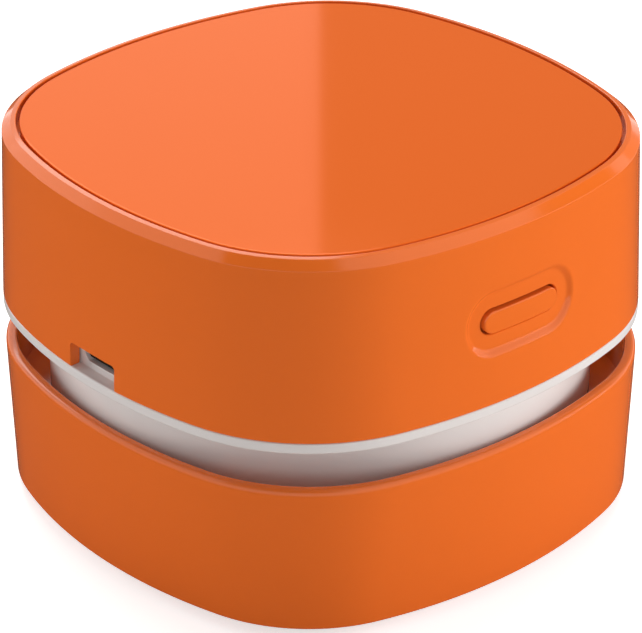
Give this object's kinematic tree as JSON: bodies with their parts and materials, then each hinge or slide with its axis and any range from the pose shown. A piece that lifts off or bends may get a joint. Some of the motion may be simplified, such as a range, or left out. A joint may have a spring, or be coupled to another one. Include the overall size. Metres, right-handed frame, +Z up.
{
  "type": "desktop mini vacuum cleaner",
  "caption": "Rounded square desk vacuum: dust bin with nozzle and brushes, lift-off motor unit with fan, cell, push button and charging port.",
  "frame": {"origin": "on the table under the middle of the body, at the level of the feet", "axes": "+Z up, -Y towards the face with the power button, -X towards the side with the charging port"},
  "size_m": [0.084, 0.084, 0.058],
  "materials": {
    "orange_satin": "satin moulded",
    "orange_gloss": "gloss",
    "white_plastic": "satin moulded",
    "dark_plastic": "matt moulded",
    "nylon_bristle": "bristles",
    "soft_rubber": "matt",
    "filter_felt": "felt",
    "plated_steel": "plated",
    "ferrite": "sintered",
    "bronze": "turned",
    "board_green": "solder mask",
    "cell_wrap": "shrink wrap"
  },
  "bodies": {
    "dust_bin": {"bin_shell": "orange_satin", "suction_nozzle": "dark_plastic", "brush_strip_1": "nylon_bristle", "brush_strip_2": "nylon_bristle", "brush_strip_3": "nylon_bristle", "brush_strip_4": "nylon_bristle", "foot_1": "soft_rubber", "foot_2": "soft_rubber", "foot_3": "soft_rubber", "foot_4": "soft_rubber", "filter_frame": "white_plastic", "filter_pad": "filter_felt", "seal_ring": "soft_rubber"},
    "motor_unit": {"upper_casing": "orange_satin", "top_panel": "orange_gloss", "motor_housing": "white_plastic", "inlet_plate": "white_plastic", "casing_screw_1": "plated_steel", "casing_screw_2": "plated_steel", "casing_screw_3": "plated_steel", "casing_screw_4": "plated_steel", "inlet_screw_1": "plated_steel", "inlet_screw_2": "plated_steel", "inlet_screw_3": "plated_steel", "inlet_screw_4": "plated_steel", "motor_screw_1": "plated_steel", "motor_screw_2": "plated_steel", "board_screw_1": "plated_steel", "board_screw_2": "plated_steel", "motor_can": "plated_steel", "motor_end_cap": "dark_plastic", "bearing_front": "bronze", "bearing_rear": "bronze", "magnet_1": "ferrite", "magnet_2": "ferrite", "battery_cell": "cell_wrap", "battery_cradle": "dark_plastic", "charging_socket": "plated_steel", "circuit_board": "board_green", "charge_chip": "dark_plastic", "switch_body": "dark_plastic"},
    "rotor": {"motor_shaft": "plated_steel", "armature": "plated_steel", "commutator": "bronze", "impeller": "white_plastic"},
    "power_button": {"power_button": "orange_satin"},
    "switch_plunger": {"switch_plunger": "white_plastic"}
  },
  "joints": [
    {"name": "lift_off", "type": "slide", "parent": "dust_bin", "child": "motor_unit", "axis": [0, 0, 1], "range_m": [0, 0.03]},
    {"name": "fan_spin", "type": "hinge", "parent": "motor_unit", "child": "rotor", "pos_m": [0, 0, 0.03], "axis": [0, 0, 1], "continuous": true},
    {"name": "button_press", "type": "slide", "parent": "motor_unit", "child": "power_button", "axis": [0, 1, 0], "range_m": [0, 0.0008], "stiffness_N_per_m": 1500, "springref_m": -0.0003},
    {"name": "plunger_press", "type": "slide", "parent": "motor_unit", "child": "switch_plunger", "axis": [0, 1, 0], "range_m": [0, 0.0008]}
  ],
  "couplings": [
    {"joint": "plunger_press", "follows": "button_press", "ratio": 1}
  ]
}
